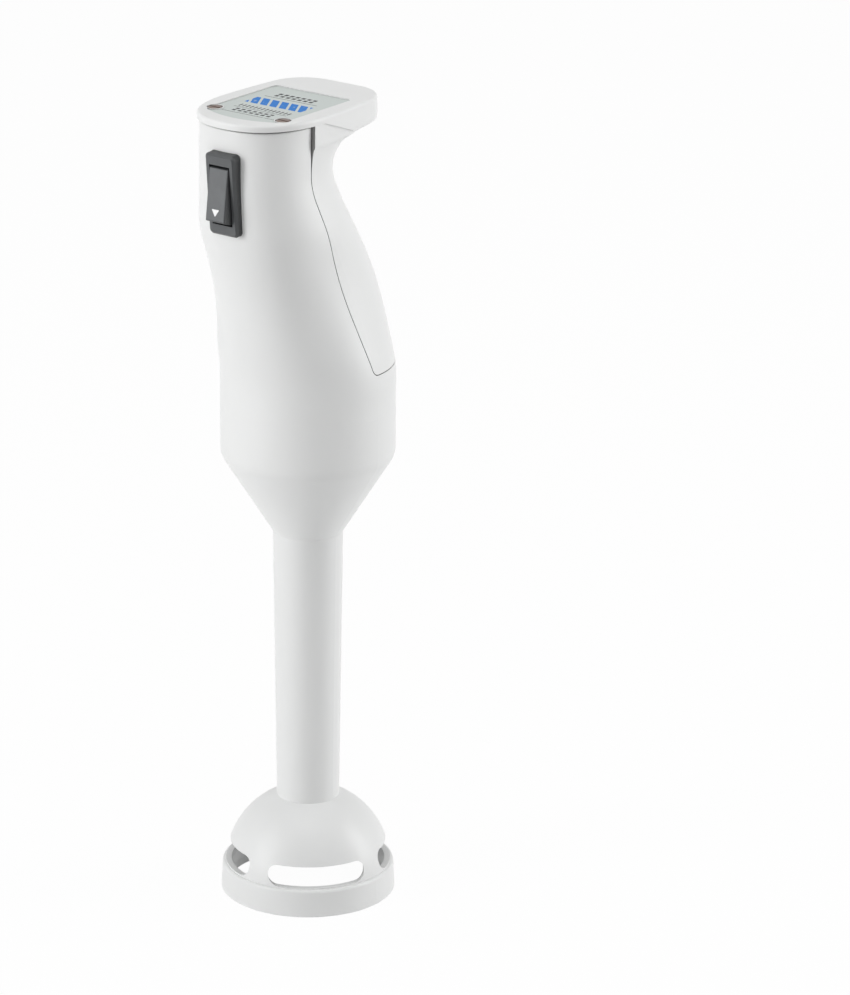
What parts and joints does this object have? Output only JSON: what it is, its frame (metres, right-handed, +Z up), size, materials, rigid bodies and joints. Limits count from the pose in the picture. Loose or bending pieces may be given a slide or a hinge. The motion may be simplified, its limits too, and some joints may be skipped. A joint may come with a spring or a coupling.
{
  "type": "immersion blender",
  "caption": "White hand-held immersion blender with a slim shaft, windowed blade guard, cone-shaped motor housing, hooked handle with a flat top plate, and a rocker switch.",
  "frame": {"origin": "centre of the guard's rim, on the floor it stands on", "axes": "+Z up the drive shaft, -Y the side of the switch, +Y the side of the hanging hook, +X to the right when facing the switch"},
  "size_m": [0.066, 0.087, 0.3105],
  "materials": {
    "white_plastic": "smooth moulded white, satin gloss",
    "label_sheet": "printed grey-green sheet",
    "dark_plastic": "fine matt dark grey",
    "rocker_plastic": "matt grey with a pale mark",
    "bronzed_steel": "dark browned screw head",
    "black_rubber": "moulded rubber",
    "bright_steel": "ground steel",
    "bronze": "sintered bronze",
    "copper": "enamelled copper",
    "lamination": "stacked sheet steel",
    "cast_alloy": "pressure die casting",
    "carbon": "pressed carbon",
    "inner_plastic": "plain moulded plastic",
    "wire_insulation": "brown insulation"
  },
  "bodies": {
    "handle": {"motor_housing": "white_plastic", "rear_cover": "white_plastic", "rating_plate": "label_sheet", "cover_screws": "bronzed_steel", "cord_grommet": "black_rubber", "cord_clamp": "inner_plastic", "clamp_screws": "bright_steel", "switch_body": "dark_plastic", "switch_terminals": "bronze", "lead_wires": "wire_insulation", "suppressor_capacitor": "inner_plastic", "motor_mount_ring": "black_rubber", "lower_bracket": "cast_alloy", "lower_bearing": "bright_steel", "upper_bracket": "cast_alloy", "upper_bearing": "bright_steel", "motor_screws": "bright_steel", "stator_stack": "lamination", "field_coils": "copper", "brush_holders": "inner_plastic", "carbon_brushes": "carbon", "brush_springs": "bright_steel", "shaft_tube": "white_plastic", "tube_nut": "inner_plastic", "upper_bush": "bronze", "blade_guard": "white_plastic", "lower_bush": "bronze", "shaft_seal": "black_rubber"},
    "rocker": {"switch_rocker": "rocker_plastic", "rocker_plunger": "inner_plastic", "rocker_spring": "bright_steel"},
    "contact": {"contact_lever": "bronze"},
    "rotor": {"rotor_shaft": "bright_steel", "armature_core": "lamination", "armature_winding": "copper", "commutator": "copper", "cooling_fan": "inner_plastic", "shaft_coupling": "inner_plastic", "drive_shaft": "bright_steel", "drive_pin": "bright_steel"},
    "blade_set": {"blade_hub": "bright_steel", "blade": "bright_steel"}
  },
  "joints": [
    {"name": "rocker", "type": "hinge", "parent": "handle", "child": "rocker", "pos_m": [0, -0.04849, 0.28372], "axis": [1, 0, 0], "range_deg": [0, 24]},
    {"name": "contact_lever", "type": "hinge", "parent": "handle", "child": "contact", "pos_m": [0, -0.03841, 0.28453], "axis": [1, 0, 0], "range_deg": [-16, 0]},
    {"name": "rotor_spin", "type": "hinge", "parent": "handle", "child": "rotor", "pos_m": [0, 0, 0.2], "axis": [0, 0, 1], "continuous": true},
    {"name": "blade_pull_off", "type": "slide", "parent": "rotor", "child": "blade_set", "axis": [0, 0, -1], "range_m": [0, 0.0082]}
  ],
  "couplings": [
    {"joint": "contact_lever", "follows": "rocker", "ratio": -0.66667}
  ]
}
